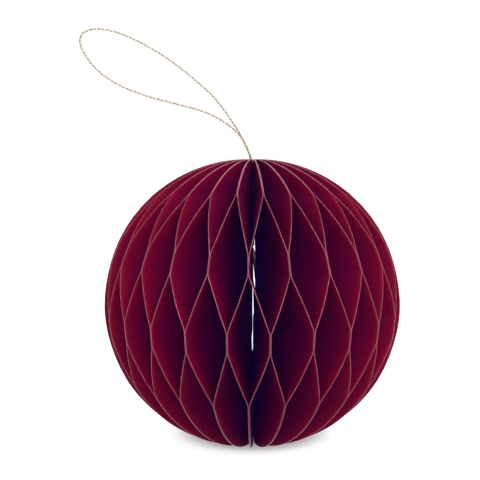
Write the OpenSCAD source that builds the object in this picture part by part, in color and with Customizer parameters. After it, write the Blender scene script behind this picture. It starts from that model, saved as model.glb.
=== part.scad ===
// Paper honeycomb ball for hanging. Half-disc paper leaves are glued to each other in
// level bands, fanned right round their common spine and closed with small magnets.
// The origin is the middle of the ball, +Z runs up the spine and -Y is the front.
// The open ball is the rest pose: every leaf keeps inside its own wedge of the circle.

/* [Leaves] */
// Radius that each half-disc leaf is cut to
leaf_r = 44.2; // [30:0.1:80]
// Distance from the middle of the cut disc to the two straight ends of the spine edge
spine_trim = 0.65; // [0:0.05:2]
// Depth of the shallow hollow that is cut into the middle of each spine edge
spine_hollow = 2.4; // [0:0.1:4]
// Half the height of that hollow
hollow_h = 22; // [12:0.5:28]
// Radius of the two corners where a leaf's rim meets its spine edge
corner_r = 1.2; // [0.6:0.1:3]
// Thickness of the paper
paper_t = 0.22; // [0.12:0.01:0.4]
// Thickness of the glue film between two leaves
glue_t = 0.04; // [0.02:0.01:0.08]

/* [Glue bands] */
// Height of the middle of the top band above the middle of the ball
band_top = 37; // [20:0.5:60]
// Distance from the middle of one band to the middle of the next
band_pitch = 21; // [12:0.1:30]
// Height of one band
band_h = 4.6; // [2:0.1:8]
// Number of bands down the ball
band_count = 4; // [2:1:6]
// Share of the free paper between two bands that bends at each of its ends
bend_share = 0.08; // [0.04:0.01:0.28]

/* [Closure] */
// Diameter of a closure magnet
magnet_d = 4; // [3:0.5:8]
// Thickness of a closure magnet
magnet_t = 0.5; // [0.4:0.1:1.5]
// Distance from the middle of a magnet to the leaf's rim
magnet_inset = 6; // [5:0.5:15]

/* [Hanging cord] */
// Diameter of the cord
cord_d = 0.55; // [0.4:0.05:0.6]
// Diameter of the knot that holds both ends of the cord
knot_d = 2.2; // [1.6:0.1:2.6]
// Depth of the middle of the knot below the ball's top
knot_depth = 2.2; // [1.8:0.1:2.6]
// Length of the two cord ends that stick out of the knot
tail_l = 4; // [2:0.5:8]

/* [Hidden] */
leaf_count = 48;
wedge = 360 / leaf_count;
// The seam where the first and the last leaf meet, at the back of the ball
seam_angle = 90;
pitch = paper_t + glue_t;
// The spines stand round this circle, one chord of a leaf's pitch for each leaf
core_r = pitch / (2 * sin(wedge / 2));
spine_x = core_r * cos(wedge / 2);
// Height of the middle of a corner's curve, which touches the rim's circle from inside
corner_z = sqrt(pow(leaf_r - corner_r, 2) - pow(corner_r + spine_trim, 2));
top_z = corner_z + corner_r;
half_band = band_h / 2;
// Angles round a corner at which a leaf has a row of points
corner_steps = [85, 58, 30, 0];
// Angle between rows of points towards the poles, past the outermost bands
polar_step = 8;
ring_sides = 8;
rings_per_step = 2;

// The cord's route in x, y and z: up one strand, round the loop and back down the other
cord_route = [
    [0.3, 0.8, 42.3], [-0.2, 0.45, 44.2], [-1.5, 0.35, 47.7], [-3.8, 0.35, 52],
    [-7.3, 0.5, 57.4], [-11.9, 1, 63.3], [-17.5, 1.4, 68.4], [-22.6, 1.6, 72.5],
    [-28.2, 1.6, 76.4], [-34.4, 1.4, 79.9], [-39.5, 1, 82.2], [-43.6, 0.6, 83.4],
    [-47.1, 0.2, 83.8], [-49.7, 0, 83.4], [-51.7, -0.2, 82.4], [-52.5, -0.4, 80.6],
    [-52.2, -0.6, 78.4], [-50.8, -0.8, 75.7], [-48.2, -1, 72.2], [-44.5, -1.3, 69.1],
    [-40.4, -1.5, 66.6], [-35.3, -1.6, 64.5], [-30.2, -1.6, 62.8], [-25.1, -1.5, 61.5],
    [-20, -1.3, 60.2], [-14.9, -1, 58.7], [-11.1, -0.7, 57], [-7.8, -0.5, 55],
    [-4.1, -0.35, 51.8], [-1.7, -0.35, 47.6], [-0.5, -0.1, 44.2], [-0.4, 0.8, 42.3]
];

function leaf_name(j) = str("leaf_", j < 10 ? "0" : "", j);

// ---- the leaf's outline and wave ----

function clamp(v, low, high) = min(max(v, low), high);

// Distance from the spine edge to the rim, and to the near side of a corner, at height z
function rim_s(z) = sqrt(max(pow(leaf_r, 2) - z * z, 0)) - spine_trim;
function corner_s(z) = abs(z) <= corner_z ? 0
    : corner_r - sqrt(max(pow(corner_r, 2) - pow(abs(z) - corner_z, 2), 0));
// Depth of the spine edge's hollow at height z, nearly even down its middle
function hollow_s(z) = spine_hollow * (1 - pow(min(abs(z) / hollow_h, 1), 4));

// A ramp from 0 to 1 that starts and ends level and is straight between its bends
function ramp(t) = let (steep = 1 / (1 - bend_share))
    t < bend_share ? steep * t * t / (2 * bend_share)
    : t > 1 - bend_share ? 1 - steep * pow(1 - t, 2) / (2 * bend_share)
    : steep * (t - bend_share / 2);

// Where height z lies across the wedge, from -1 to 1. It is level in every band, and
// between two bands it swaps sides so that the rim runs straight from one to the other.
function wave(z) = let (
        q = clamp((band_top - z) / band_pitch, 0, band_count - 1),
        k = floor(q),
        h = half_band / band_pitch,
        t = clamp((q - k - h) / (1 - 2 * h), 0, 1),
        z_start = band_top - k * band_pitch - half_band,
        from = spine_x + rim_s(z_start),
        to = spine_x + rim_s(z_start - free_h),
        across = (from - (from + to) * ramp(t)) / (spine_x + rim_s(z))
    ) (k % 2 == 0 ? 1 : -1) * (t == 0 ? 1 : t == 1 ? -1 : across);

// Heights of the rows of points, from the top down
free_top = band_top - half_band;
free_bottom = band_top - (band_count - 1) * band_pitch + half_band;
free_h = band_pitch - band_h;
ramp_rows = [0, bend_share / 2, bend_share, 0.3, 0.5, 0.7, 1 - bend_share, 1 - bend_share / 2, 1];
wave_rows = [for (k = [0:band_count - 2], t = ramp_rows) free_top - k * band_pitch - t * free_h];
polar_rows = [for (a = [-90 + polar_step:polar_step:90 - polar_step]) leaf_r * sin(-a)];
upper_rows = [for (z = polar_rows) if (z > free_top + 1 && z < corner_z - 0.5) z];
lower_rows = [for (z = polar_rows) if (z < free_bottom - band_h && z > 0.5 - corner_z) z];
foot_row = free_bottom - band_h;
corner_rows = [for (a = corner_steps) corner_z + corner_r * sin(a)];
leaf_rows = concat(
    corner_rows,
    upper_rows,
    [for (z = wave_rows) if (abs(z) < corner_z - 0.2) z],
    abs(foot_row) < corner_z - 0.2 ? [foot_row] : [],
    lower_rows,
    [for (i = [len(corner_rows) - 1:-1:0]) -corner_rows[i]]
);

// Sideways offset of the paper's middle from the wedge's middle plane
function offset_at(x, w) = w * (x * tan(wedge / 2) - pitch / 2 / cos(wedge / 2));

// The four points of one row: spine edge and rim, each with its two faces
function row_points(z, side) = let (
        w = side * wave(z),
        x_in = spine_x + hollow_s(z) + corner_s(z),
        x_out = spine_x + rim_s(z)
    ) [for (x = [x_in, x_out], face = [-1, 1]) [x, offset_at(x, w) + face * paper_t / 2, z]];

// Two triangles for the four-sided patch a, b, c, d
function patch(a, b, c, d) = [[a, b, c], [a, c, d]];

function leaf_faces(n) = concat(
    patch(0, 1, 3, 2),
    [for (i = [0:n - 2]) let (p = 4 * i, q = p + 4) each concat(
        patch(p, p + 2, q + 2, q),
        patch(p + 1, q + 1, q + 3, p + 3),
        patch(p + 2, p + 3, q + 3, q + 2),
        patch(p + 1, p, q, q + 1)
    )],
    [let (p = 4 * (n - 1)) each patch(p, p + 2, p + 3, p + 1)]
);

// ---- the cord's sweep ----

// A point on the curve through p1 and p2, with p0 and p3 as their neighbours
function on_curve(p0, p1, p2, p3, t) = 0.5 * (
    2 * p1 + (p2 - p0) * t + (2 * p0 - 5 * p1 + 4 * p2 - p3) * t * t
    + (3 * p1 - p0 - 3 * p2 + p3) * t * t * t
);
function smooth_route(r) = let (last = len(r) - 1) concat(
    [for (i = [0:last - 1], k = [0:rings_per_step - 1])
        on_curve(r[max(i - 1, 0)], r[i], r[i + 1], r[min(i + 2, last)], k / rings_per_step)],
    [r[last]]
);
function unit(v) = v / norm(v);
function heading(r, i) = unit(r[min(i + 1, len(r) - 1)] - r[max(i - 1, 0)]);
function ring(r, i) = let (
        along = heading(r, i),
        across = unit(cross(along, [0, 1, 0])),
        up = cross(along, across)
    ) [for (k = [0:ring_sides - 1]) let (a = 360 * k / ring_sides)
        r[i] + cord_d / 2 * (cos(a) * across + sin(a) * up)];

module swept_tube(route) {
    path = smooth_route(route);
    n = len(path);
    points = [for (i = [0:n - 1]) each ring(path, i)];
    sides = [for (i = [0:n - 2], k = [0:ring_sides - 1]) let (
            a = ring_sides * i + k,
            b = ring_sides * i + (k + 1) % ring_sides
        ) each patch(a, b, b + ring_sides, a + ring_sides)];
    first = [[for (k = [ring_sides - 1:-1:0]) k]];
    last = [[for (k = [0:ring_sides - 1]) ring_sides * (n - 1) + k]];
    polyhedron(points, concat(sides, first, last));
}

// ---- the sub-parts ----

// Odd leaves reach their far side in the first band, even leaves their near side
module leaf(j) {
    side = j % 2 == 1 ? 1 : -1;
    color("#5a0f22")
        rotate([0, 0, seam_angle + (j - 0.5) * wedge])
            polyhedron([for (z = leaf_rows) each row_points(z, side)], leaf_faces(len(leaf_rows)));
}

// The magnets stand in the first or the last cell, behind the bands that meet at the seam
module closure_magnets(side) {
    color("silver")
        rotate([0, 0, seam_angle])
            for (k = [1:2:band_count - 1]) {
                z = band_top - k * band_pitch;
                x = spine_x + rim_s(z) - magnet_inset;
                from_seam = glue_t / 2 + paper_t + glue_t;
                translate([x, side * from_seam, z])
                    rotate([-90 * side, 0, 0])
                        cylinder(h = magnet_t, d = magnet_d, $fn = 48);
            }
}

module hanging_cord() {
    color("#b39a5c")
        swept_tube(cord_route);
}

// The knot lies against the first leaf's spine edge, inside the hollow core
module cord_knot() {
    color("#a88a45")
        rotate([0, 0, seam_angle + wedge / 2])
            translate([spine_x - glue_t - knot_d / 2, 0, top_z - knot_depth]) {
                sphere(d = knot_d, $fn = 48);
                for (side = [-1, 1])
                    translate([0, side * cord_d * 0.6, -knot_d / 2 - tail_l])
                        cylinder(h = tail_l + knot_d / 2, d = cord_d, $fn = 24);
            }
}

for (j = [1:leaf_count])
    leaf(j);
closure_magnets(1);  // magnets_first_leaf
closure_magnets(-1);  // magnets_last_leaf
hanging_cord();
cord_knot();
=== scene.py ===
"""The finished look of a hanging paper honeycomb ball.

Forty-eight burgundy half-disc leaves with gilt rims are glued in level bands and fanned
round their spine, and hang from a loop of twisted gold thread. Lengths are in metres.
"""

import logging
import math
import random
from dataclasses import dataclass, field, replace
from enum import Enum

import bmesh
import bpy
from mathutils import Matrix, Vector, noise


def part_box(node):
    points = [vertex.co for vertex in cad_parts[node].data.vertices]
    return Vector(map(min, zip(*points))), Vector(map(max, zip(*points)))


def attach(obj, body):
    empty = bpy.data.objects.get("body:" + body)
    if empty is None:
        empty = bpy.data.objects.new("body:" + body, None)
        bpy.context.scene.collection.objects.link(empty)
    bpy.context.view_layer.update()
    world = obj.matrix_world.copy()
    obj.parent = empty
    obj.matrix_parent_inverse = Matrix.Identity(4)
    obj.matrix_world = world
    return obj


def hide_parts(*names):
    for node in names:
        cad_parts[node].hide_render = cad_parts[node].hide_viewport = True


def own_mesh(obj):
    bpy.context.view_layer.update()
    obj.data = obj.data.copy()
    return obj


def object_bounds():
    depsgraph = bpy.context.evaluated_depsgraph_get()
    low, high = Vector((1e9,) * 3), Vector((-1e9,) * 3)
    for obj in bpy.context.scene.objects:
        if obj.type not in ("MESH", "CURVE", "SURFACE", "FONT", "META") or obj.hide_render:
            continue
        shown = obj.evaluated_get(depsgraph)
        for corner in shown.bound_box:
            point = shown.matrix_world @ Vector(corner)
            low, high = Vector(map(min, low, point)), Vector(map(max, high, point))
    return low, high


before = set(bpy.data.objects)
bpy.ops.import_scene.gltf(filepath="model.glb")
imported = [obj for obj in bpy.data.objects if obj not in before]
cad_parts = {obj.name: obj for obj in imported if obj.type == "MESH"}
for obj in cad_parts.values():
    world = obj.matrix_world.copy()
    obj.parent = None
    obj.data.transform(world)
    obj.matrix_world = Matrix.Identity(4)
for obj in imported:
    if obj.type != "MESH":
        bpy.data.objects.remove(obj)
CAD_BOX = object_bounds()

MM = 0.001
LEAF_COUNT = 48
WEDGE = math.tau / LEAF_COUNT
SEAM_ANGLE = math.radians(90)
PAPER_T = 0.22 * MM
GLUE_T = 0.04 * MM
PITCH = PAPER_T + GLUE_T
HINGE_R = PITCH / (2 * math.sin(WEDGE / 2))
SPINE_X = HINGE_R * math.cos(WEDGE / 2)

Colour = tuple[float, float, float]
Tones = tuple[tuple[float, Colour], ...]

log = logging.getLogger("paper_ball")


class Side(Enum):
    """Which side of its wedge a leaf takes in the first glue band."""

    FAR = 1
    NEAR = -1

    @classmethod
    def of_leaf(cls, number: int) -> "Side":
        """The side that leaf `number` takes: odd leaves start on the far side."""
        return cls.FAR if number % 2 else cls.NEAR


# ---- node wiring ----


@dataclass
class NodeSheet:
    """A material's node tree, with short ways to add and join its nodes.

    Attributes:
        name: The material's name.
    """

    name: str
    material: bpy.types.Material = field(init=False)

    def __post_init__(self) -> None:
        """Makes the material with a bare shader and an output."""
        self.material = bpy.data.materials.new(self.name)
        self.material.use_nodes = True
        self.tree = self.material.node_tree
        self.shader = next(n for n in self.tree.nodes if n.type == "BSDF_PRINCIPLED")

    def add(self, kind: str, **settings: object) -> bpy.types.Node:
        """Adds a node.

        Args:
            kind: The node type after "ShaderNode".
            **settings: Attributes to set on it.

        Returns:
            The new node.
        """
        node = self.tree.nodes.new("ShaderNode" + kind)
        for key, value in settings.items():
            setattr(node, key, value)
        return node

    def join(self, source: bpy.types.NodeSocket, target: bpy.types.NodeSocket) -> None:
        """Links one socket to another."""
        self.tree.links.new(source, target)

    def fixed(self, **values: object) -> None:
        """Sets plain values on the shader's own sockets.

        Args:
            **values: A value for each socket, with _ for a space in its name.
        """
        for key, value in values.items():
            self.shader.inputs[key.replace("_", " ")].default_value = value

    def grain(
        self, place: bpy.types.NodeSocket, scale: float, detail: float, roughness: float = 0.5
    ) -> bpy.types.NodeSocket:
        """Noise over a place.

        Args:
            place: The coordinates it is read on.
            scale: Grains per metre.
            detail: Octaves of finer grain.
            roughness: How strong the finer grain is.

        Returns:
            The noise value's socket, about 0.5 on average.
        """
        node = self.add("TexNoise")
        node.inputs["Scale"].default_value = scale
        node.inputs["Detail"].default_value = detail
        node.inputs["Roughness"].default_value = roughness
        self.join(place, node.inputs["Vector"])
        return node.outputs["Fac"]

    def spread(
        self,
        value: bpy.types.NodeSocket,
        low: float,
        high: float,
        to_low: float,
        to_high: float,
    ) -> bpy.types.NodeSocket:
        """Maps a value's range onto another.

        Args:
            value: The socket to map.
            low: Where the input range starts.
            high: Where it ends.
            to_low: The output at `low`.
            to_high: The output at `high`.

        Returns:
            The mapped value's socket.
        """
        node = self.add("MapRange")
        self.join(value, node.inputs["Value"])
        for key, number in (
            ("From Min", low),
            ("From Max", high),
            ("To Min", to_low),
            ("To Max", to_high),
        ):
            node.inputs[key].default_value = number
        return node.outputs["Result"]

    def blend(
        self,
        share: bpy.types.NodeSocket,
        first: Colour | bpy.types.NodeSocket,
        second: Colour | bpy.types.NodeSocket,
        kind: str = "MIX",
    ) -> bpy.types.NodeSocket:
        """Mixes two colours.

        Args:
            share: How much of the second shows.
            first: A colour or a socket.
            second: A colour or a socket.
            kind: The blend type.

        Returns:
            The mixed colour's socket.
        """
        node = self.add("Mix", data_type="RGBA", blend_type=kind)
        self.join(share, node.inputs["Factor"])
        for key, value in (("A", first), ("B", second)):
            socket = next(s for s in node.inputs if s.name == key and s.type == "RGBA")
            if isinstance(value, tuple):
                socket.default_value = (*value, 1.0)
            else:
                self.join(value, socket)
        return next(s for s in node.outputs if s.type == "RGBA")

    def tint(
        self,
        value: bpy.types.NodeSocket,
        tones: Tones,
    ) -> bpy.types.NodeSocket:
        """Colours that follow a value.

        Args:
            value: The socket to read.
            tones: Values and their colours, in rising order.

        Returns:
            The colour's socket.
        """
        reach = tones[-1][0]
        ramp = self.add("ValToRGB")
        marks = ramp.color_ramp.elements
        while len(marks) < len(tones):
            marks.new(1.0)
        for mark, (at, colour) in zip(marks, tones):
            mark.position = at / reach
            mark.color = (*colour, 1.0)
        self.join(self.spread(value, 0.0, reach, 0.0, 1.0), ramp.inputs["Fac"])
        return ramp.outputs["Color"]

    def bump(self, height: bpy.types.NodeSocket, depth: float, strength: float) -> None:
        """Gives the shader a bump.

        Args:
            height: The socket of its height, 0 to 1.
            depth: Its depth in metres.
            strength: How much of it shows.
        """
        node = self.add("Bump")
        node.inputs["Strength"].default_value = strength
        node.inputs["Distance"].default_value = depth
        self.join(height, node.inputs["Height"])
        self.join(node.outputs["Normal"], self.shader.inputs["Normal"])


# ---- finishes ----


@dataclass(frozen=True)
class PaperFinish:
    """Burgundy card with painted light and shade: painted redder and brighter at the cut rim, and
    painted darker and more violet deep between the leaves, where shade falls.

    Attributes:
        name: The material's name.
        tones: Distance from the rim and the colour there, painted light at the rim and painted
            shade deeper in.
        glow: Distance from the rim and the faint painted glow there, emitted violet light that
            lifts the shaded paper.
        fleck: Colour of the paler fibres.
        cloud: Shade of the paper's soft clouds.
        clouds_per_m: Clouds in a metre.
        fibres_per_m: Fibres in a metre.
        fibre_depth: How deep the fibres print.
    """

    name: str = "burgundy_card"
    # Painted light and shade: brighter at the cut rim, darker and more violet deeper between the
    # leaves.
    tones: Tones = (
        (0.0 * MM, (0.185, 0.005, 0.018)),
        (1.2 * MM, (0.118, 0.0008, 0.013)),
        (5.0 * MM, (0.092, 0.0004, 0.015)),
        (16.0 * MM, (0.086, 0.0004, 0.022)),
        (36.0 * MM, (0.074, 0.001, 0.050)),
    )
    # Painted glow: faint emitted violet light, stronger deeper between the leaves.
    glow: Tones = (
        (0.0 * MM, (0.003, 0.0, 0.006)),
        (4.0 * MM, (0.002, 0.0, 0.010)),
        (36.0 * MM, (0.002, 0.0004, 0.017)),
    )
    fleck: Colour = (0.17, 0.004, 0.022)
    cloud: Colour = (0.72, 0.72, 0.72)
    clouds_per_m: float = 160
    fibres_per_m: float = 5200
    fibre_depth: float = 0.02 * MM

    @classmethod
    def for_covers(cls) -> "PaperFinish":
        """The finish of what lies in plain view on the folded ball.

        Returns:
            A plainer burgundy, without the painted violet shade of the deep cells, which keeps the
            painted light at the rim and a fainter painted glow.
        """
        return cls(
            name="burgundy_cover",
            # Painted light at the cut rim, without the painted shade of the deep cells.
            tones=(
                (0.0 * MM, (0.185, 0.005, 0.018)),
                (1.2 * MM, (0.118, 0.0008, 0.013)),
                (36.0 * MM, (0.082, 0.0005, 0.016)),
            ),
            # Painted glow, no stronger deep in than at the rim.
            glow=((0.0 * MM, (0.003, 0.0, 0.006)), (36.0 * MM, (0.002, 0.0, 0.006))),
        )

    def build(self) -> bpy.types.Material:
        """Makes the paper's material.

        Returns:
            The material, which reads the UV map "leaf".
        """
        sheet = NodeSheet(self.name)
        uv = sheet.add("UVMap", uv_map="leaf").outputs["UV"]
        parts = sheet.add("SeparateXYZ")
        sheet.join(uv, parts.inputs["Vector"])
        # Painted light and shade by distance from the rim.
        dye_and_painted_shade = sheet.tint(parts.outputs["X"], self.tones)
        clouds = sheet.grain(uv, self.clouds_per_m, 3)
        fibres = sheet.grain(uv, self.fibres_per_m, 5, 0.65)
        flecked = sheet.blend(sheet.spread(fibres, 0.56, 0.74, 0.0, 0.4), dye_and_painted_shade, self.fleck)
        cloudy = sheet.spread(clouds, 0.35, 0.7, 0.0, 0.35)
        shaded = sheet.blend(cloudy, flecked, self.cloud, "MULTIPLY")
        sheet.join(shaded, sheet.shader.inputs["Base Color"])
        sheet.join(sheet.spread(clouds, 0.3, 0.7, 0.6, 0.75), sheet.shader.inputs["Roughness"])
        # Painted glow: the paper gives off a faint violet light that lifts its shade.
        glowing = sheet.tint(parts.outputs["X"], self.glow)
        sheet.join(glowing, sheet.shader.inputs["Emission Color"])
        sheet.fixed(Specular_IOR_Level=0.03, Emission_Strength=1.0)
        sheet.bump(fibres, self.fibre_depth, 0.35)
        return sheet.material


@dataclass(frozen=True)
class GiltFinish:
    """Rose-gold foil on the cut rim, rubbed through here and there, with painted shade towards the
    top and the foot of the ball.

    Attributes:
        foil: The foil's usual colour.
        warm: Its colour in golden patches.
        rubbed: The colour of its worn specks.
        pole_shade: The painted shade that it is mixed with, by up to half, towards the top and the
            foot.
        shade_start_z: Height, up or down, at which the painted shade starts.
        shade_full_z: Height at which the painted shade is full.
        patches_per_m: Golden patches in a metre.
        specks_per_m: Worn specks in a metre.
    """

    foil: Colour = (0.25, 0.069, 0.118)
    warm: Colour = (0.31, 0.113, 0.114)
    rubbed: Colour = (0.15, 0.02, 0.055)
    pole_shade: Colour = (0.08, 0.0, 0.03)
    shade_start_z: float = 12 * MM
    shade_full_z: float = 40 * MM
    patches_per_m: float = 420
    specks_per_m: float = 3600

    def build(self) -> bpy.types.Material:
        """Makes the gilt's material.

        Returns:
            The material, which reads the UV map "leaf" and the height on the ball.
        """
        sheet = NodeSheet("rose_gilt")
        uv = sheet.add("UVMap", uv_map="leaf").outputs["UV"]
        patches = sheet.grain(uv, self.patches_per_m, 3)
        specks = sheet.grain(uv, self.specks_per_m, 4, 0.7)
        tone = sheet.blend(sheet.spread(patches, 0.4, 0.62, 0.0, 1.0), self.foil, self.warm)
        worn = sheet.blend(sheet.spread(specks, 0.6, 0.7, 0.0, 0.8), tone, self.rubbed)
        # Painted shade: the foil darkens by height alone, towards the top and the foot of the
        # ball.
        parts, height = sheet.add("SeparateXYZ"), sheet.add("Math", operation="ABSOLUTE")
        sheet.join(sheet.add("TexCoord").outputs["Object"], parts.inputs["Vector"])
        sheet.join(parts.outputs["Z"], height.inputs[0])
        painted_pole_shade = sheet.spread(height.outputs["Value"], self.shade_start_z, self.shade_full_z, 0.0, 0.5)
        sheet.join(sheet.blend(painted_pole_shade, worn, self.pole_shade), sheet.shader.inputs["Base Color"])
        sheet.join(sheet.spread(specks, 0.3, 0.7, 0.28, 0.5), sheet.shader.inputs["Roughness"])
        sheet.fixed(Metallic=1.0)
        sheet.bump(specks, 0.01 * MM, 0.4)
        return sheet.material


@dataclass(frozen=True)
class ThreadFinish:
    """Metal film wound round a core, one ply of the cord.

    Attributes:
        name: The material's name.
        film: The film's colour.
        shade: The colour between its turns, and where it has aged.
        winding: From one turn of the film to the next.
        glints_per_m: Brighter places in a metre.
    """

    name: str
    film: Colour
    shade: Colour
    winding: float = 0.09 * MM
    glints_per_m: float = 1500

    def build(self) -> bpy.types.Material:
        """Makes the ply's material.

        Returns:
            The material, which reads the UV map "thread".
        """
        sheet = NodeSheet(self.name)
        uv = sheet.add("UVMap", uv_map="thread").outputs["UV"]
        turns = sheet.add("TexWave", wave_type="BANDS", bands_direction="DIAGONAL")
        turns.inputs["Scale"].default_value = 0.35 / self.winding
        turns.inputs["Distortion"].default_value = 0.6
        turns.inputs["Detail Scale"].default_value = 2.0
        sheet.join(uv, turns.inputs["Vector"])
        glints = sheet.grain(uv, self.glints_per_m, 3)
        tone = sheet.blend(turns.outputs["Fac"], self.shade, self.film)
        aged = sheet.blend(sheet.spread(glints, 0.35, 0.6, 0.5, 0.0), tone, self.shade)
        sheet.join(aged, sheet.shader.inputs["Base Color"])
        sheet.join(sheet.spread(glints, 0.3, 0.7, 0.26, 0.42), sheet.shader.inputs["Roughness"])
        sheet.fixed(Metallic=0.9)
        sheet.bump(turns.outputs["Fac"], 0.02 * MM, 0.6)
        return sheet.material


@dataclass(frozen=True)
class NickelFinish:
    """Bright nickel plate with fine scuffs.

    Attributes:
        plate: The plate's colour.
        scuff: Its colour where it is scuffed.
        scuffs_per_m: Scuffs in a metre.
    """

    plate: Colour = (0.62, 0.60, 0.57)
    scuff: Colour = (0.42, 0.41, 0.40)
    scuffs_per_m: float = 2400

    def build(self) -> bpy.types.Material:
        """Makes the plate's material.

        Returns:
            The material.
        """
        sheet = NodeSheet("nickel_plate")
        place = sheet.add("TexCoord").outputs["Object"]
        scuffs = sheet.grain(place, self.scuffs_per_m, 4, 0.6)
        tone = sheet.blend(sheet.spread(scuffs, 0.5, 0.7, 0.0, 1.0), self.plate, self.scuff)
        sheet.join(tone, sheet.shader.inputs["Base Color"])
        sheet.join(sheet.spread(scuffs, 0.3, 0.7, 0.16, 0.4), sheet.shader.inputs["Roughness"])
        sheet.fixed(Metallic=1.0)
        sheet.bump(scuffs, 0.01 * MM, 0.2)
        return sheet.material


# ---- leaves ----


@dataclass
class LeafCut:
    """The outline that every leaf is cut to.

    Attributes:
        radius: Radius of the cut disc.
        trim: From the disc's middle to the line of the hinges.
        hollow: Depth of the shallow hollow in the middle of the spine edge.
        hollow_z: Height of the middle of the hollow.
        hollow_h: Half the hollow's height.
        corner: Radius of the two corners at the spine edge.
        gilt: Width of the foil that creeps round onto each face.
    """

    radius: float = 44.2 * MM
    trim: float = 0.65 * MM
    hollow: float = 2.4 * MM
    hollow_z: float = 0.0 * MM
    hollow_h: float = 22 * MM
    corner: float = 1.2 * MM
    gilt: float = 0.02 * MM

    @property
    def corner_z(self) -> float:
        """Height of the middle of a corner's curve."""
        inset = self.corner + self.trim
        return math.sqrt((self.radius - self.corner) ** 2 - inset**2)

    def spine(self, z: float) -> float:
        """Where the spine edge is.

        Args:
            z: Height above the middle of the ball.

        Returns:
            Its distance from the spine's axis.
        """
        past = abs(z) - self.corner_z
        if past > 0:
            return SPINE_X + self.corner - math.sqrt(max(self.corner**2 - past**2, 0.0))
        share = min(abs(z - self.hollow_z) / self.hollow_h, 1.0)
        return SPINE_X + self.hollow * (1 - share**4)

    def rim(self, z: float) -> float:
        """Where the rim is at height z, from the spine's axis."""
        return SPINE_X + math.sqrt(max(self.radius**2 - z * z, 0.0)) - self.trim


@dataclass
class GlueBands:
    """The level bands of glue, counted from the top.

    Attributes:
        top: Height of the middle of the first band.
        pitch: From one band to the next.
        height: Height of one band.
        count: Number of bands.
        bend: Share of the free paper that bends at each end of it.
    """

    top: float = 37 * MM
    pitch: float = 21 * MM
    height: float = 4.6 * MM
    count: int = 4
    bend: float = 0.08

    def edges(self, band: int) -> tuple[float, float]:
        """The top and the bottom of a band before its glue ran."""
        middle = self.top - band * self.pitch
        return middle + self.height / 2, middle - self.height / 2

    def ramp(self, t: float) -> float:
        """A slope that is level at both ends and straight between its bends.

        Args:
            t: The way along it, 0 to 1.

        Returns:
            Its height there, 0 to 1.
        """
        steep = 1 / (1 - self.bend)
        if t < self.bend:
            return steep * t * t / (2 * self.bend)
        if t > 1 - self.bend:
            return 1 - steep * (1 - t) ** 2 / (2 * self.bend)
        return steep * (t - self.bend / 2)


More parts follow.
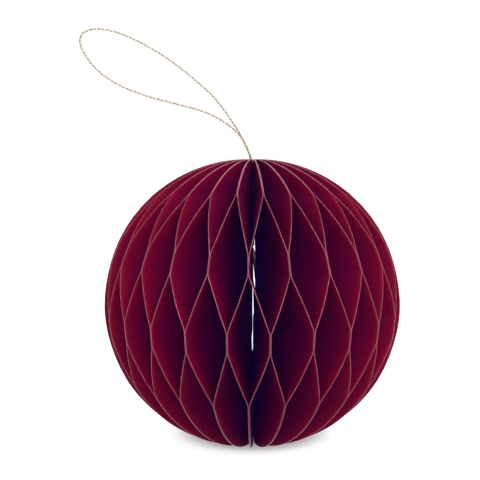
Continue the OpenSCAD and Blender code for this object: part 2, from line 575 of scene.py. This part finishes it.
@dataclass
class PaperLeaves:
    """The 48 leaves, each a thin sheet that waves between its two neighbours.

    Attributes:
        cut: The outline.
        bands: The glue.
        turn_slack: How far a glued pair may stand off its even place, in radians.
        run_slack: How far the glue's edges wander up or down.
        ripple: How far the free paper wanders sideways at the rim.
        seed: Seed of all of that.
        stand: How far each listed glued pair stands off its place, in degrees.
        worn: Leaves whose spine edge is hollowed unlike the others'.
        lean: How far the middle of the core leans from the ball's axis.
        lean_reach: Distance from the axis at which the lean has faded to a third.
        columns: Faces from the spine edge to the rim.
        bend_rows: Rows of faces in each bend.
        straight_rows: Rows of faces between two bends.
        glued_rows: Where the rows of a glued band stand, as shares of its height.
        corner_rows: Where the rows of a corner stand, as degrees round its curve.
        arc_step: Angle round the rim between rows, past the outermost bands.
        grain_step: From one leaf's piece of the paper's grain to the next's.
    """

    cut: LeafCut = field(default_factory=LeafCut)
    bands: GlueBands = field(default_factory=GlueBands)
    turn_slack: float = math.radians(0.35)
    run_slack: float = 0.35 * MM
    ripple: float = 0.35 * MM
    seed: int = 48
    stand: dict[int, float] = field(
        default_factory=lambda: {
            16: -0.4, 17: -0.4, 18: -0.3, 19: -0.5, 20: -1.0, 21: -1.0, 22: -1.0, 23: -1.0,
            24: -1.32, 25: -1.2, 26: -1.27, 27: -0.7, 28: -0.7, 29: -0.7, 30: -0.3, 31: -0.3,
            32: -0.4, 46: 0.35, 47: 0.0, 0: 0.0, 1: 0.0, 2: 0.0,
        }
    )
    worn: dict[int, LeafCut] = field(
        default_factory=lambda: {
            24: LeafCut(hollow_z=-13 * MM, hollow_h=3.5 * MM),
            25: LeafCut(hollow=2.9 * MM, hollow_z=2 * MM, hollow_h=20 * MM),
            26: LeafCut(hollow=3.2 * MM),
            48: LeafCut(hollow=12 * MM, hollow_z=7 * MM, hollow_h=12 * MM),
        }
    )
    lean: Vector = field(default_factory=lambda: Vector((0.25 * MM, 0, 0)))
    lean_reach: float = 10 * MM
    columns: int = 13
    bend_rows: int = 5
    straight_rows: int = 4
    glued_rows: tuple[float, ...] = (0.06, 0.5, 0.94)
    corner_rows: tuple[float, ...] = (86, 74, 60, 45, 30, 15, 0)
    arc_step: float = math.radians(2.4)
    grain_step: float = 0.11

    def __post_init__(self) -> None:
        """Draws how each glued joint stands and where its glue ends."""
        draw = random.Random(self.seed)
        self.turn = [draw.uniform(-1, 1) * self.turn_slack for _ in range(LEAF_COUNT)]
        self.run = [
            [
                (draw.uniform(-1, 1) * self.run_slack, draw.uniform(-1, 1) * self.run_slack)
                for _ in range(self.bands.count)
            ]
            for _ in range(LEAF_COUNT)
        ]
        self.turn[0] = 0.0
        for joint, degrees in self.stand.items():
            self.turn[joint] = math.radians(degrees)

    def angle(self, number: int) -> float:
        """The direction of a leaf's middle plane."""
        return SEAM_ANGLE + (number - 0.5) * WEDGE

    def joint_of(self, number: int, band: int) -> int:
        """The joint that a leaf is glued at in a band, 0 being the seam."""
        far = (Side.of_leaf(number).value > 0) == (band % 2 == 0)
        return (number if far else number - 1) % LEAF_COUNT

    def glue_edges(self, number: int) -> list[tuple[float, float]]:
        """Where the glue ends on one leaf.

        Args:
            number: The leaf.

        Returns:
            The top and the bottom of each band, from the top down.
        """
        found = []
        for band in range(self.bands.count):
            top, bottom = self.bands.edges(band)
            up, down = self.run[self.joint_of(number, band)][band]
            found.append((top + up, bottom + down))
        return found

    def heights(self, number: int) -> list[tuple[float, float]]:
        """The rows of points on one leaf.

        Args:
            number: The leaf.

        Returns:
            A height and a share across the wedge, -1 to 1, for each row, from the top down.
        """
        cut, bands, edges = self.cut, self.bands, self.glue_edges(number)
        side = Side.of_leaf(number).value
        turns = [math.radians(degrees) for degrees in self.corner_rows]
        curve = [cut.corner_z + cut.corner * math.sin(turn) for turn in turns]
        rows = [(z, side) for z in curve]
        rows += [(z, side) for z in self.arc(cut.corner_z, edges[0][1])]
        bend, straight = bands.bend, 1 - 2 * bands.bend
        steps = [bend * i / self.bend_rows for i in range(self.bend_rows)]
        steps += [bend + straight * i / self.straight_rows for i in range(self.straight_rows)]
        steps += [1 - bend * (1 - i / self.bend_rows) for i in range(self.bend_rows + 1)]
        for band in range(bands.count - 1):
            here = side * (1 if band % 2 == 0 else -1)
            start, stop = edges[band][1], edges[band + 1][0]
            rows += [self.free_row(start, stop, t, here) for t in steps]
            if band < bands.count - 2:
                low = edges[band + 1][1]
                rows += [(stop + (low - stop) * t, -here) for t in self.glued_rows]
        last = side * (1 if (bands.count - 1) % 2 == 0 else -1)
        rows += [(z, last) for z in self.arc(edges[-1][0], -cut.corner_z)]
        rows += [(-z, last) for z in reversed(curve)]
        return rows

    def free_row(self, start: float, stop: float, t: float, here: int) -> tuple[float, float]:
        """A row of the free paper between two bands, whose rim runs straight.

        Args:
            start: Height at which the upper band ends.
            stop: Height at which the lower band starts.
            t: Where the row is between them, 0 to 1.
            here: The side that the leaf takes in the upper band.

        Returns:
            The row's height and its share across the wedge.
        """
        z = start + (stop - start) * t
        ramp = self.bands.ramp(t)
        across = self.cut.rim(start) * (1 - ramp) - self.cut.rim(stop) * ramp
        return z, here * across / self.cut.rim(z)

    def arc(self, high: float, low: float) -> list[float]:
        """Heights that are evenly spaced round the rim between two others.

        Args:
            high: The upper one, which isn't among them.
            low: The lower one, which isn't either.

        Returns:
            The heights, from the top down.
        """
        start, stop = (math.asin(z / self.cut.radius) for z in (high, low))
        count = max(2, round((start - stop) / self.arc_step))
        return [
            self.cut.radius * math.sin(start + (stop - start) * i / count) for i in range(1, count)
        ]

    def sideways(self, number: int, x: float, z: float, share: float) -> float:
        """How far the paper's middle stands off the leaf's middle plane.

        Args:
            number: The leaf.
            x: Distance from the spine's axis.
            z: Height.
            share: Where this height lies across the wedge, -1 to 1.

        Returns:
            The offset, towards the next leaf.
        """
        gap = PITCH / 2 / math.cos(WEDGE / 2)
        far = x * math.tan(WEDGE / 2 + self.turn[number % LEAF_COUNT]) - gap
        near = gap - x * math.tan(WEDGE / 2 - self.turn[(number - 1) % LEAF_COUNT])
        free = (1 - share * share) * x / self.cut.radius
        drift = noise.noise(Vector((number * 7.3, x * 45, z * 90))) * self.ripple * free
        return (1 + share) / 2 * far + (1 - share) / 2 * near + drift

    def build(self, number: int, finishes: list[bpy.types.Material]) -> bpy.types.Object:
        """Makes one leaf.

        Args:
            number: The leaf, from 1.
            finishes: The paper for the faces, again for the spine's cut edge, and the gilt.

        Returns:
            The leaf's object.
        """
        rows = self.heights(number)
        last_row, last_column = len(rows) - 1, self.columns
        cut = self.worn.get(number, self.cut)
        turn = self.angle(number)
        along = Vector((math.cos(turn), math.sin(turn), 0))
        across = Vector((-math.sin(turn), math.cos(turn), 0))
        bm = bmesh.new()
        bmesh.ops.create_grid(bm, x_segments=last_column, y_segments=last_row, size=1)
        flat = bm.loops.layers.uv.new("leaf")
        place = {}
        for vert in bm.verts:
            column = round((vert.co.x + 1) / 2 * last_column)
            row = last_row - round((vert.co.y + 1) / 2 * last_row)
            z, share = rows[row]
            inner, outer = cut.spine(z), cut.rim(z)
            foil = min(cut.gilt, (outer - inner) * 0.3)
            x = inner + (outer - foil - inner) * column / (last_column - 1)
            if column == last_column:
                x = outer
            leaning = self.lean * math.exp(-((x / self.lean_reach) ** 2))
            sideways = across * self.sideways(number, x, z, share)
            vert.co = along * x + sideways + leaning + Vector((0, 0, z))
            place[vert] = (column, Vector((outer - x, z + number * self.grain_step)))
        for face in bm.faces:
            face.smooth = True
            gilded = max(place[v][0] for v in face.verts) == last_column
            face.material_index = 2 if gilded else 0
            for loop in face.loops:
                loop[flat].uv = place[loop.vert][1]
        mesh = bpy.data.meshes.new(f"paper_leaf_{number:02d}")
        bm.to_mesh(mesh)
        bm.free()
        for finish in finishes:
            mesh.materials.append(finish)
        leaf = bpy.data.objects.new(f"paper_leaf_{number:02d}", mesh)
        bpy.context.scene.collection.objects.link(leaf)
        card = leaf.modifiers.new("card", "SOLIDIFY")
        card.thickness, card.offset = PAPER_T, 0.0
        card.use_even_offset = True
        card.material_offset_rim = 1
        self.attach(leaf, number)
        return leaf

    def attach(self, leaf: bpy.types.Object, number: int) -> None:
        """Puts a leaf on its body, hides the plain leaf and gives the leaf a mesh of its own.

        Args:
            leaf: The leaf's object.
            number: The leaf, from 1.
        """
        name = f"leaf_{number:02d}"
        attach(leaf, name)
        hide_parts(name)
        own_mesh(leaf)


# ---- cord ----


@dataclass
class TwistedCord:
    """A cord of two metal plies laid up round each other.

    Attributes:
        diameter: Across both plies.
        lay: Length of one full turn of a ply.
        step: From one ring of points to the next.
        sides: Points round a ply.
        ply_share: A ply's radius, as a share of the diameter.
        ply_offset: From the cord's middle to a ply's, as a share of the diameter.
    """

    diameter: float = 0.55 * MM
    lay: float = 2.5 * MM
    step: float = 0.2 * MM
    sides: int = 7
    ply_share: float = 0.265
    ply_offset: float = 0.235

    def smooth(self, route: list[Vector], pieces: int = 8) -> list[Vector]:
        """Draws a smooth line through a route's points.

        Args:
            route: The points.
            pieces: Steps from one of them to the next.

        Returns:
            The line's points.
        """
        last, found = len(route) - 1, []
        for i in range(last):
            p0, p1, p2, p3 = (route[min(max(i + k, 0), last)] for k in (-1, 0, 1, 2))
            for k in range(pieces):
                t = k / pieces
                found.append(
                    0.5
                    * (
                        2 * p1
                        + (p2 - p0) * t
                        + (2 * p0 - 5 * p1 + 4 * p2 - p3) * t * t
                        + (3 * p1 - p0 - 3 * p2 + p3) * t**3
                    )
                )
        return [*found, route[-1].copy()]

    @staticmethod
    def length(line: list[Vector]) -> float:
        """A line's length."""
        return sum((b - a).length for a, b in zip(line, line[1:]))

    def even(self, line: list[Vector], step: float) -> list[Vector]:
        """Spaces a line's points evenly.

        Args:
            line: The line.
            step: About how far apart they are to be.

        Returns:
            The same line with its new points.
        """
        total = self.length(line)
        count = max(2, round(total / step))
        gap, found, walked, i = total / count, [line[0].copy()], 0.0, 0
        for k in range(1, count):
            while walked + (line[i + 1] - line[i]).length < k * gap:
                walked += (line[i + 1] - line[i]).length
                i += 1
            part = (k * gap - walked) / (line[i + 1] - line[i]).length
            found.append(line[i].lerp(line[i + 1], part))
        return [*found, line[-1].copy()]

    @staticmethod
    def frames(line: list[Vector]) -> list[tuple[Vector, Vector]]:
        """Finds directions across a line that turn as little as they can.

        Args:
            line: The line.

        Returns:
            Two directions for each point, at right angles to the line and to each other.
        """
        headings = [
            (line[min(i + 1, len(line) - 1)] - line[max(i - 1, 0)]).normalized()
            for i in range(len(line))
        ]
        side = headings[0].orthogonal().normalized()
        found = []
        for heading in headings:
            side = (side - heading * side.dot(heading)).normalized()
            found.append((side.copy(), heading.cross(side)))
        return found

    def ply(
        self, bm: bmesh.types.BMesh, line: list[Vector], index: int, taper: float = 0.0
    ) -> None:
        """Adds one ply to a mesh.

        Args:
            bm: The mesh, with a UV map named "thread".
            line: The cord's own line, evenly spaced.
            index: 0 or 1, which ply; it is also the faces' material.
            taper: Share of the line over which the ply thins out at its end.
        """
        across = self.frames(line)
        gap = self.length(line) / (len(line) - 1)
        radius, offset = self.diameter * self.ply_share, self.diameter * self.ply_offset
        middle = []
        for i, point in enumerate(line):
            turn = math.tau * (i * gap / self.lay + index / 2)
            a, b = across[i]
            middle.append(point + offset * (math.cos(turn) * a + math.sin(turn) * b))
        rings, last = self.frames(middle), len(line) - 1
        flat = bm.loops.layers.uv["thread"]
        made = bmesh.ops.create_grid(bm, x_segments=self.sides, y_segments=last, size=1)["verts"]
        place = {}
        for vert in made:
            k = round((vert.co.x + 1) / 2 * self.sides)
            i = round((vert.co.y + 1) / 2 * last)
            left = (last - i) / max(1.0, taper * last)
            size = radius * (min(1.0, 0.25 + 0.75 * left) if taper else 1.0)
            turn = math.tau * k / self.sides
            a, b = rings[i]
            vert.co = middle[i] + size * (math.cos(turn) * a - math.sin(turn) * b)
            place[vert] = Vector((k / self.sides * math.tau * radius, i * gap))
        for face in {f for v in made for f in v.link_faces}:
            face.smooth = True
            face.material_index = index
            for loop in face.loops:
                loop[flat].uv = place[loop.vert]
        bmesh.ops.remove_doubles(bm, verts=made, dist=1e-7)

    def finish(
        self, bm: bmesh.types.BMesh, name: str, finishes: list[bpy.types.Material]
    ) -> bpy.types.Object:
        """Closes the plies' ends and makes the object.

        Args:
            bm: The mesh, which is used up.
            name: The piece's name.
            finishes: One material for each ply.

        Returns:
            The object.
        """
        ends = [e for e in bm.edges if e.is_boundary]
        if ends:
            bmesh.ops.holes_fill(bm, edges=ends, sides=0)
        bmesh.ops.recalc_face_normals(bm, faces=bm.faces)
        mesh = bpy.data.meshes.new(name)
        bm.to_mesh(mesh)
        bm.free()
        for finish in finishes:
            mesh.materials.append(finish)
        made = bpy.data.objects.new(name, mesh)
        bpy.context.scene.collection.objects.link(made)
        return made


@dataclass
class HangingLoop:
    """The loop of cord that the ball hangs from, with the knot that holds its ends.

    Attributes:
        cord: The cord.
        body: What it moves with.
        knot_rings: Points along the knot.
        knot_depth: How deep the knot is across its face, as a share of a round one.
        tail_apart: From the middle to where a cut end starts, as a share of the diameter.
        tail_splay: How far a cut end runs outwards.
        route_mm: The points that the loop follows.
    """

    cord: TwistedCord = field(default_factory=TwistedCord)
    body: str = "leaf_01"
    knot_rings: int = 96
    knot_depth: float = 1.3
    tail_apart: float = 0.6
    tail_splay: float = 0.12 * MM
    route_mm: tuple[tuple[float, float, float], ...] = (
        (0.3, 0.8, 42.3), (-0.2, 0.45, 44.2), (-1.5, 0.35, 47.7), (-3.8, 0.35, 52),
        (-7.3, 0.5, 57.4), (-11.9, 1, 63.3), (-17.5, 1.4, 68.4), (-22.6, 1.6, 72.5),
        (-28.2, 1.6, 76.4), (-34.4, 1.4, 79.9), (-39.5, 1, 82.2), (-43.6, 0.6, 83.4),
        (-47.1, 0.2, 83.8), (-49.7, 0, 83.4), (-51.7, -0.2, 82.4), (-52.5, -0.4, 80.6),
        (-52.2, -0.6, 78.4), (-50.8, -0.8, 75.7), (-48.2, -1, 72.2), (-44.5, -1.3, 69.1),
        (-40.4, -1.5, 66.6), (-35.3, -1.6, 64.5), (-30.2, -1.6, 62.8), (-25.1, -1.5, 61.5),
        (-20, -1.3, 60.2), (-14.9, -1, 58.7), (-11.1, -0.7, 57), (-7.8, -0.5, 55),
        (-4.1, -0.35, 51.8), (-1.7, -0.35, 47.6), (-0.5, -0.1, 44.2), (-0.4, 0.8, 42.3),
    )

    def build(self, finishes: list[bpy.types.Material]) -> list[bpy.types.Object]:
        """Makes the loop and its knot.

        Args:
            finishes: One material for each ply.

        Returns:
            The loop and the knot.
        """
        line = self.cord.smooth([Vector(p) * MM for p in self.route_mm])
        bm = bmesh.new()
        bm.loops.layers.uv.new("thread")
        fine = self.cord.even(line, self.cord.step)
        for index in range(2):
            self.cord.ply(bm, fine, index)
        loop = self.cord.finish(bm, "gold_thread_loop", finishes)
        knot = self.knot(finishes)
        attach(loop, self.body)
        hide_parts("hanging_cord")
        self.cord.length(line)
        return [loop, knot]

    def knot(self, finishes: list[bpy.types.Material]) -> bpy.types.Object:
        """Makes the overhand knot with its two cut ends, where the plain knot stands.

        Args:
            finishes: One material for each ply.

        Returns:
            The knot's object.
        """
        low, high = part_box("cord_knot")
        across = (high.y - low.y) / 2
        middle = Vector(((low.x + high.x) / 2, (low.y + high.y) / 2, high.z - across))
        size = (across - self.cord.diameter / 2) / 3
        bm = bmesh.new()
        bm.loops.layers.uv.new("thread")
        ring = []
        for i in range(self.knot_rings + 1):
            t = math.tau * i / self.knot_rings
            x = math.sin(t) + 2 * math.sin(2 * t)
            y = -math.sin(3 * t) * self.knot_depth
            z = math.cos(t) - 2 * math.cos(2 * t)
            ring.append(middle + size * Vector((x, y, z)))
        tight = replace(self.cord, lay=self.cord.length(ring) / 5)
        for index in range(2):
            tight.ply(bm, ring, index)
        for side in (-1, 1):
            apart = side * self.cord.diameter * self.tail_apart
            start = middle + Vector((apart, 0, -across * 0.5))
            foot = Vector((start.x + side * self.tail_splay, start.y, low.z + 0.05 * MM))
            tail = self.cord.even([start, start.lerp(foot, 0.5), foot], self.cord.step)
            for index in range(2):
                self.cord.ply(bm, tail, index, taper=0.1)
        knot = self.cord.finish(bm, "thread_knot", finishes)
        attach(knot, self.body)
        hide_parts("cord_knot")
        return knot


# ---- closure ----


@dataclass
class ClosureMagnets:
    """The disc magnets on the first and the last leaf, which keep their plain shape.

    Attributes:
        nodes: The magnets of each of the two leaves.
    """

    nodes: tuple[str, ...] = ("magnets_first_leaf", "magnets_last_leaf")

    def dress(self, finish: bpy.types.Material) -> None:
        """Gives the magnets their plate.

        Args:
            finish: The plate's material.
        """
        for name in self.nodes:
            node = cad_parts[name]
            node.data.materials.clear()
            node.data.materials.append(finish)


# ---- studio ----


@dataclass
class Studio:
    """A white sweep with a painted contact shadow, soft light and the camera.

    Attributes:
        distance: From the ball's middle to the camera.
        elevation: How high the camera looks from.
        aim: The point it looks at.
        lens: Its focal length in millimetres.
        sky: Strength of the light from all round.
        painted_shadow: Distance from the foot of the ball and how bright the sweep's glow is
            there, a painted contact shadow.
        painted_shadow_shift: What is added to a place on the sweep, so that the painted shadow
            lies a little behind.
        sweep: Half the sweep's width.
        sweep_gap: How far the sweep lies below the ball's foot.
    """

    distance: float = 310 * MM
    elevation: float = math.radians(8.6)
    aim: Vector = field(default_factory=lambda: Vector((-3.74 * MM, 0, 19.19 * MM)))
    lens: float = 74.42
    sky: float = 1.0
    # Painted contact shadow, darkest at the foot of the ball.
    painted_shadow: Tones = (
        (0.0 * MM, (0.20, 0.20, 0.21)),
        (16.0 * MM, (0.30, 0.30, 0.31)),
        (19.0 * MM, (0.40, 0.40, 0.41)),
        (20.5 * MM, (0.48, 0.48, 0.49)),
        (21.5 * MM, (0.56, 0.56, 0.57)),
        (22.5 * MM, (0.64, 0.64, 0.65)),
        (23.5 * MM, (0.73, 0.73, 0.74)),
        (24.5 * MM, (0.80, 0.80, 0.81)),
        (25.5 * MM, (0.86, 0.86, 0.87)),
        (27.0 * MM, (0.92, 0.92, 0.92)),
        (33.0 * MM, (1.0, 1.0, 1.0)),
    )
    painted_shadow_shift: tuple[float, float, float] = (0, -11 * MM, 0)
    sweep: float = 6.0
    sweep_gap: float = 0.01 * MM

    def floor(self) -> bpy.types.Object:
        """Makes the floor that the ball stands on, with a painted contact shadow.

        Returns:
            The floor's object.
        """
        bm = bmesh.new()
        bmesh.ops.create_grid(bm, x_segments=2, y_segments=2, size=self.sweep)
        bmesh.ops.translate(bm, verts=bm.verts, vec=(0, 0, CAD_BOX[0].z - self.sweep_gap))
        mesh = bpy.data.meshes.new("studio_floor")
        bm.to_mesh(mesh)
        bm.free()
        sheet = NodeSheet("white_sweep")
        place = sheet.add("TexCoord").outputs["Object"]
        tone = sheet.blend(sheet.grain(place, 8, 2), (0.16, 0.16, 0.16), (0.17, 0.17, 0.17))
        sheet.join(tone, sheet.shader.inputs["Base Color"])
        # Painted contact shadow: the sweep's glow is dimmed near the foot of the ball, by distance
        # alone.
        flat = sheet.add("VectorMath", operation="MULTIPLY_ADD")
        flat.inputs[1].default_value = (1, 1, 0)
        flat.inputs[2].default_value = self.painted_shadow_shift
        out = sheet.add("VectorMath", operation="LENGTH")
        sheet.join(place, flat.inputs[0])
        sheet.join(flat.outputs["Vector"], out.inputs[0])
        glow = sheet.tint(out.outputs["Value"], self.painted_shadow)
        sheet.join(glow, sheet.shader.inputs["Emission Color"])
        sheet.fixed(Roughness=0.9, Specular_IOR_Level=0.0, Emission_Strength=1.0)
        mesh.materials.append(sheet.material)
        made = bpy.data.objects.new("studio_floor", mesh)
        bpy.context.scene.collection.objects.link(made)
        return made

    def lamp(
        self, name: str, place: tuple[float, float, float], size: float, power: float
    ) -> bpy.types.Object:
        """A square soft light that faces the ball.

        Args:
            name: Its name.
            place: Where it stands.
            size: Its side.
            power: Watts.

        Returns:
            The light's object.
        """
        data = bpy.data.lights.new(name, "AREA")
        data.shape, data.size, data.energy = "SQUARE", size, power
        made = bpy.data.objects.new(name, data)
        made.location = Vector(place)
        made.rotation_euler = (-Vector(place)).to_track_quat("-Z", "Y").to_euler()
        bpy.context.scene.collection.objects.link(made)
        return made

    def camera(self) -> bpy.types.Object:
        """Sets up the camera, a little above the ball and in front of it.

        Returns:
            The camera's object.
        """
        data = bpy.data.cameras.new("studio_camera")
        data.lens, data.sensor_width = self.lens, 36
        data.clip_start, data.clip_end = 0.01, 50
        made = bpy.data.objects.new("studio_camera", data)
        back = self.distance * math.cos(self.elevation)
        made.location = (0, -back, self.distance * math.sin(self.elevation))
        made.rotation_euler = (self.aim - made.location).to_track_quat("-Z", "Y").to_euler()
        bpy.context.scene.collection.objects.link(made)
        bpy.context.scene.camera = made
        return made

    def build(self) -> None:
        """Sets up the sweep, the lights, the camera and the tones."""
        scene = bpy.context.scene
        scene.view_settings.view_transform = "Standard"
        world = bpy.data.worlds.new("soft_white")
        world.use_nodes = True
        shade = next(n for n in world.node_tree.nodes if n.type == "BACKGROUND")
        shade.inputs["Color"].default_value = (1, 1, 1, 1)
        shade.inputs["Strength"].default_value = self.sky
        scene.world = world
        self.floor()
        self.lamp("key_light", (0.25, -0.45, 0.65), 0.5, 5.0)
        self.lamp("front_light", (0.0, -0.75, 0.12), 0.35, 2.0)
        self.lamp("top_light", (0.05, 0.35, 0.75), 0.6, 6.0)
        self.camera()


def main() -> None:
    """Builds the studio, the cord, the leaves and the closure, in that order."""
    logging.basicConfig(level=logging.INFO, format="%(message)s")
    Studio().build()
    plies = [
        ThreadFinish("pale_gold_ply", (0.53, 0.46, 0.36), (0.36, 0.30, 0.21)).build(),
        ThreadFinish("deep_gold_ply", (0.38, 0.31, 0.22), (0.19, 0.15, 0.10)).build(),
    ]
    for piece in HangingLoop().build(plies):
        log.info("%s: %d faces", piece.name, len(piece.data.polygons))
    card, gilt = PaperFinish().build(), GiltFinish().build()
    cover = PaperFinish.for_covers().build()
    leaves = PaperLeaves()
    for number in range(1, LEAF_COUNT + 1):
        # The outer leaves take the copy of the paper without the painted deep shade.
        paper = cover if number in (1, LEAF_COUNT - 1, LEAF_COUNT) else card
        leaf = leaves.build(number, [paper, cover, gilt])
        log.info("%s: %d faces", leaf.name, len(leaf.data.polygons))
    ClosureMagnets().dress(NickelFinish().build())
    log.info("magnets dressed")


if __name__ == "__main__":
    main()
